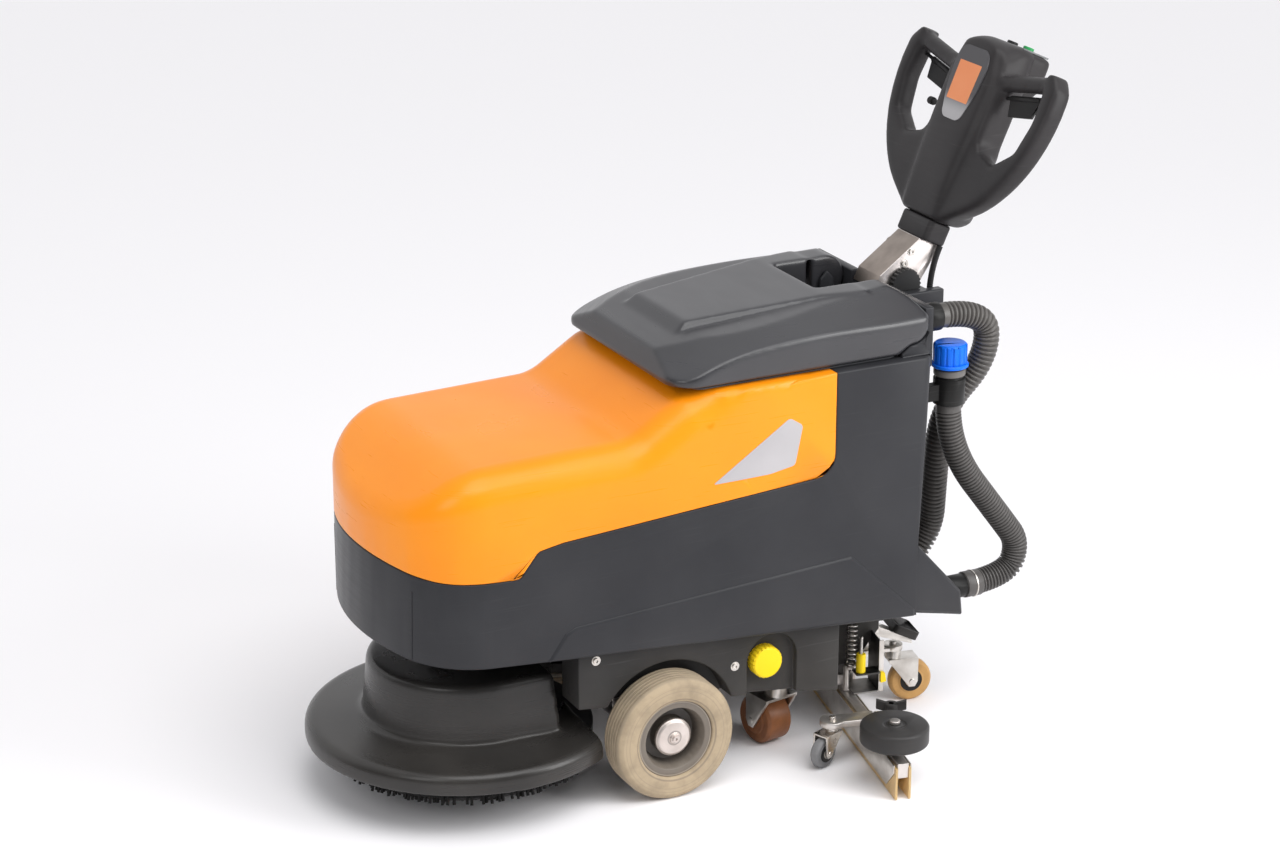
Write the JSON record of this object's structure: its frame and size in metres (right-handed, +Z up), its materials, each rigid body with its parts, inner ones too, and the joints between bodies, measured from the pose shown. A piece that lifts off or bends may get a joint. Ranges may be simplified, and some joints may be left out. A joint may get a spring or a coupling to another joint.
{
  "type": "walk-behind floor scrubber",
  "caption": "Walk-behind floor scrubber with orange hood, dark tank, lift-up lid, disc brush deck, drive wheels, swinging squeegee, hoses and a tilting two-loop handle.",
  "frame": {"origin": "centre of the machine's box, on the floor", "axes": "+X forward, towards the brush; +Y to the machine's left; +Z up"},
  "size_m": [1.2568, 0.6938, 1.0808],
  "materials": {
    "slate_plastic": "satin",
    "orange_plastic": "semi-gloss",
    "black_plastic": "matte",
    "tub_plastic": "matte",
    "handle_plastic": "textured",
    "label_grey": "matte",
    "panel_grey": "matte",
    "power_green": "gloss",
    "cast_silver": "cast",
    "steel": "zinc plated",
    "motor_metal": "satin",
    "tyre_grey": "matte",
    "rim_grey": "satin",
    "roller_brown": "satin",
    "small_wheel_grey": "matte",
    "bumper_grey": "matte",
    "hose_grey": "satin",
    "fitting_grey": "matte",
    "cap_blue": "gloss",
    "cap_yellow": "gloss",
    "brush_dark": "matte",
    "blade_amber": "satin"
  },
  "bodies": {
    "chassis": {"chassis_frame": "black_plastic", "base_tank": "slate_plastic", "upper_hood": "orange_plastic", "recovery_tank": "tub_plastic", "battery_pair": "black_plastic", "vacuum_motor": "motor_metal", "drive_transaxle": "motor_metal", "suction_hose": "hose_grey", "hose_fittings": "fitting_grey", "drain_hose": "hose_grey", "handle_clevis": "steel", "control_cable": "hose_grey"},
    "tank_lid": {"lid": "slate_plastic"},
    "handle": {"column_casting": "cast_silver", "column_sleeve": "handle_plastic", "head_front_shell": "handle_plastic", "head_rear_shell": "handle_plastic", "label_panel": "label_grey", "control_panel": "panel_grey"},
    "left_trigger": {"trigger_left": "black_plastic"},
    "right_trigger": {"trigger_right": "black_plastic"},
    "dosing": {"dosing_lever": "black_plastic"},
    "power_key": {"power_button": "power_green"},
    "suction_key": {"suction_button": "black_plastic"},
    "filter": {"filter_cap": "cap_yellow"},
    "drain_plug": {"drain_cap": "cap_blue"},
    "left_wheel": {"tyre_left": "tyre_grey", "wheel_hub_left": "rim_grey", "hub_cap_left": "steel"},
    "right_wheel": {"tyre_right": "tyre_grey", "wheel_hub_right": "rim_grey", "hub_cap_right": "steel"},
    "left_castor": {"castor_fork_left": "steel"},
    "left_castor_roller": {"castor_roller_left": "roller_brown"},
    "right_castor": {"castor_fork_right": "steel"},
    "right_castor_roller": {"castor_roller_right": "roller_brown"},
    "lower_lift_arm": {"lift_arm_lower": "steel"},
    "upper_lift_arm": {"lift_arm_upper": "steel"},
    "brush_deck": {"deck_shroud": "slate_plastic", "brush_motor": "motor_metal"},
    "brush": {"disc_brush": "brush_dark"},
    "squeegee_swing": {"swing_arm": "cast_silver", "squeegee_hose": "hose_grey", "lift_spring": "steel"},
    "squeegee": {"squeegee_body": "cast_silver", "squeegee_blades": "blade_amber", "blade_clamps": "steel", "rear_bracket": "steel"},
    "pedal": {"pedal_arm": "steel", "pedal_pad": "black_plastic"},
    "rear_castor": {"rear_castor_fork": "steel"},
    "rear_castor_roller": {"rear_castor_wheel": "roller_brown"},
    "left_bumper": {"bumper_roller_left": "bumper_grey"},
    "right_bumper": {"bumper_roller_right": "bumper_grey"},
    "left_knob": {"wing_knob_left": "black_plastic"},
    "right_knob": {"wing_knob_right": "black_plastic"},
    "left_small_castor": {"small_castor_fork_left": "steel"},
    "left_small_wheel": {"small_castor_wheel_left": "small_wheel_grey"},
    "right_small_castor": {"small_castor_fork_right": "steel"},
    "right_small_wheel": {"small_castor_wheel_right": "small_wheel_grey"}
  },
  "joints": [
    {"name": "lid_hinge", "type": "hinge", "parent": "chassis", "child": "tank_lid", "pos_m": [-0.29355, -0.04948, 0.699], "axis": [0, -1, 0], "range_deg": [0, 70]},
    {"name": "handle_tilt", "type": "hinge", "parent": "chassis", "child": "handle", "pos_m": [-0.37655, -0.04948, 0.706], "axis": [0, 1, 0], "range_deg": [-20, 20], "deforming": ["control_cable"]},
    {"name": "left_trigger_pull", "type": "hinge", "parent": "handle", "child": "left_trigger", "pos_m": [-0.53404, 0.01833, 0.99661], "axis": [-0.073, 0.9841, 0.1617], "range_deg": [0, 12], "stiffness_Nm_per_rad": 0.4, "springref_deg": -11.46},
    {"name": "right_trigger_pull", "type": "hinge", "parent": "handle", "child": "right_trigger", "pos_m": [-0.53404, -0.1173, 0.99661], "axis": [0.073, 0.9841, -0.1617], "range_deg": [0, 12], "stiffness_Nm_per_rad": 0.4, "springref_deg": -11.46},
    {"name": "dosing_swing", "type": "hinge", "parent": "handle", "child": "dosing", "pos_m": [-0.51477, -0.11448, 0.95392], "axis": [0.9114, 0, 0.4115], "range_deg": [-15, 15]},
    {"name": "power_push", "type": "slide", "parent": "handle", "child": "power_key", "axis": [0.4115, 0, -0.9114], "range_m": [0, 0.002], "stiffness_N_per_m": 500, "springref_m": -0.002},
    {"name": "suction_push", "type": "slide", "parent": "handle", "child": "suction_key", "axis": [0.4115, 0, -0.9114], "range_m": [0, 0.002], "stiffness_N_per_m": 500, "springref_m": -0.002},
    {"name": "filter_turn", "type": "hinge", "parent": "chassis", "child": "filter", "pos_m": [-0.04455, 0.15052, 0.184], "axis": [0, 1, 0], "range_deg": [0, 90]},
    {"name": "drain_cap_turn", "type": "hinge", "parent": "chassis", "child": "drain_plug", "pos_m": [-0.39555, 0.10052, 0.6], "axis": [0, 0, 1], "range_deg": [0, 180]},
    {"name": "left_wheel_spin", "type": "hinge", "parent": "chassis", "child": "left_wheel", "pos_m": [0.12745, 0.18552, 0.1], "axis": [0, 1, 0], "continuous": true},
    {"name": "right_wheel_spin", "type": "hinge", "parent": "chassis", "child": "right_wheel", "pos_m": [0.12745, -0.28448, 0.1], "axis": [0, 1, 0], "continuous": true},
    {"name": "left_castor_swivel", "type": "hinge", "parent": "chassis", "child": "left_castor", "pos_m": [-0.10307, 0.08212, 0.112], "axis": [0, 0, 1], "continuous": true},
    {"name": "left_castor_spin", "type": "hinge", "parent": "left_castor", "child": "left_castor_roller", "pos_m": [-0.09855, 0.05652, 0.04], "axis": [-0.9848, -0.1736, 0], "continuous": true},
    {"name": "right_castor_swivel", "type": "hinge", "parent": "chassis", "child": "right_castor", "pos_m": [-0.10307, -0.18109, 0.112], "axis": [0, 0, 1], "continuous": true},
    {"name": "right_castor_spin", "type": "hinge", "parent": "right_castor", "child": "right_castor_roller", "pos_m": [-0.09855, -0.15548, 0.04], "axis": [0.9848, -0.1736, 0], "continuous": true},
    {"name": "deck_lift", "type": "hinge", "parent": "chassis", "child": "lower_lift_arm", "pos_m": [0.16345, -0.04948, 0.158], "axis": [0, -1, 0], "range_deg": [-20, 0]},
    {"name": "deck_level", "type": "hinge", "parent": "lower_lift_arm", "child": "brush_deck", "pos_m": [0.26587, -0.04948, 0.17606], "axis": [0, -1, 0], "range_deg": [0, 20]},
    {"name": "upper_arm_lift", "type": "hinge", "parent": "chassis", "child": "upper_lift_arm", "pos_m": [0.16345, -0.04948, 0.192], "axis": [0, -1, 0], "range_deg": [-20, 0]},
    {"name": "brush_spin", "type": "hinge", "parent": "brush_deck", "child": "brush", "pos_m": [0.37945, -0.04948, 0.093], "axis": [0, 0, 1], "continuous": true},
    {"name": "squeegee_swing_pivot", "type": "hinge", "parent": "chassis", "child": "squeegee_swing", "pos_m": [-0.02255, -0.04948, 0.104], "axis": [0, 0, 1], "range_deg": [-3, 24], "deforming": ["suction_hose"]},
    {"name": "squeegee_lift", "type": "hinge", "parent": "squeegee_swing", "child": "squeegee", "pos_m": [-0.18101, -0.0158, 0.084], "axis": [0.2079, 0.9781, 0], "range_deg": [0, 14], "deforming": ["squeegee_hose", "lift_spring"]},
    {"name": "pedal_press", "type": "hinge", "parent": "squeegee", "child": "pedal", "pos_m": [-0.31795, 0.01331, 0.138], "axis": [-0.2079, -0.9781, 0], "range_deg": [0, 5], "stiffness_Nm_per_rad": 6, "springref_deg": -4.58},
    {"name": "rear_castor_swivel", "type": "hinge", "parent": "squeegee", "child": "rear_castor", "pos_m": [-0.35512, 0.02121, 0.036], "axis": [0, 0, 1], "continuous": true},
    {"name": "rear_castor_spin", "type": "hinge", "parent": "rear_castor", "child": "rear_castor_roller", "pos_m": [-0.38447, 0.02744, 0.036], "axis": [0.2079, 0.9781, 0], "continuous": true},
    {"name": "left_bumper_spin", "type": "hinge", "parent": "squeegee", "child": "left_bumper", "pos_m": [-0.19974, 0.28568, 0.07], "axis": [0, 0, 1], "continuous": true},
    {"name": "left_knob_turn", "type": "hinge", "parent": "squeegee", "child": "left_knob", "pos_m": [-0.23949, 0.20928, 0.079], "axis": [0, 0, 1], "range_deg": [0, 180]},
    {"name": "left_small_swivel", "type": "hinge", "parent": "squeegee", "child": "left_small_castor", "pos_m": [-0.15102, 0.1782, 0.025], "axis": [0, 0, 1], "continuous": true},
    {"name": "left_small_spin", "type": "hinge", "parent": "left_small_castor", "child": "left_small_wheel", "pos_m": [-0.13062, 0.18644, 0.025], "axis": [0.3746, -0.9272, 0], "continuous": true},
    {"name": "right_bumper_spin", "type": "hinge", "parent": "squeegee", "child": "right_bumper", "pos_m": [-0.32074, -0.2836, 0.07], "axis": [0, 0, 1], "continuous": true},
    {"name": "right_knob_turn", "type": "hinge", "parent": "squeegee", "child": "right_knob", "pos_m": [-0.32599, -0.19763, 0.079], "axis": [0, 0, 1], "range_deg": [0, 180]},
    {"name": "right_small_swivel", "type": "hinge", "parent": "squeegee", "child": "right_small_castor", "pos_m": [-0.23252, -0.20523, 0.025], "axis": [0, 0, 1], "continuous": true},
    {"name": "right_small_spin", "type": "hinge", "parent": "right_small_castor", "child": "right_small_wheel", "pos_m": [-0.21212, -0.19699, 0.025], "axis": [0.3746, -0.9272, 0], "continuous": true}
  ],
  "couplings": [
    {"joint": "deck_level", "follows": "deck_lift", "ratio": -1},
    {"joint": "upper_arm_lift", "follows": "deck_lift", "ratio": 1}
  ]
}
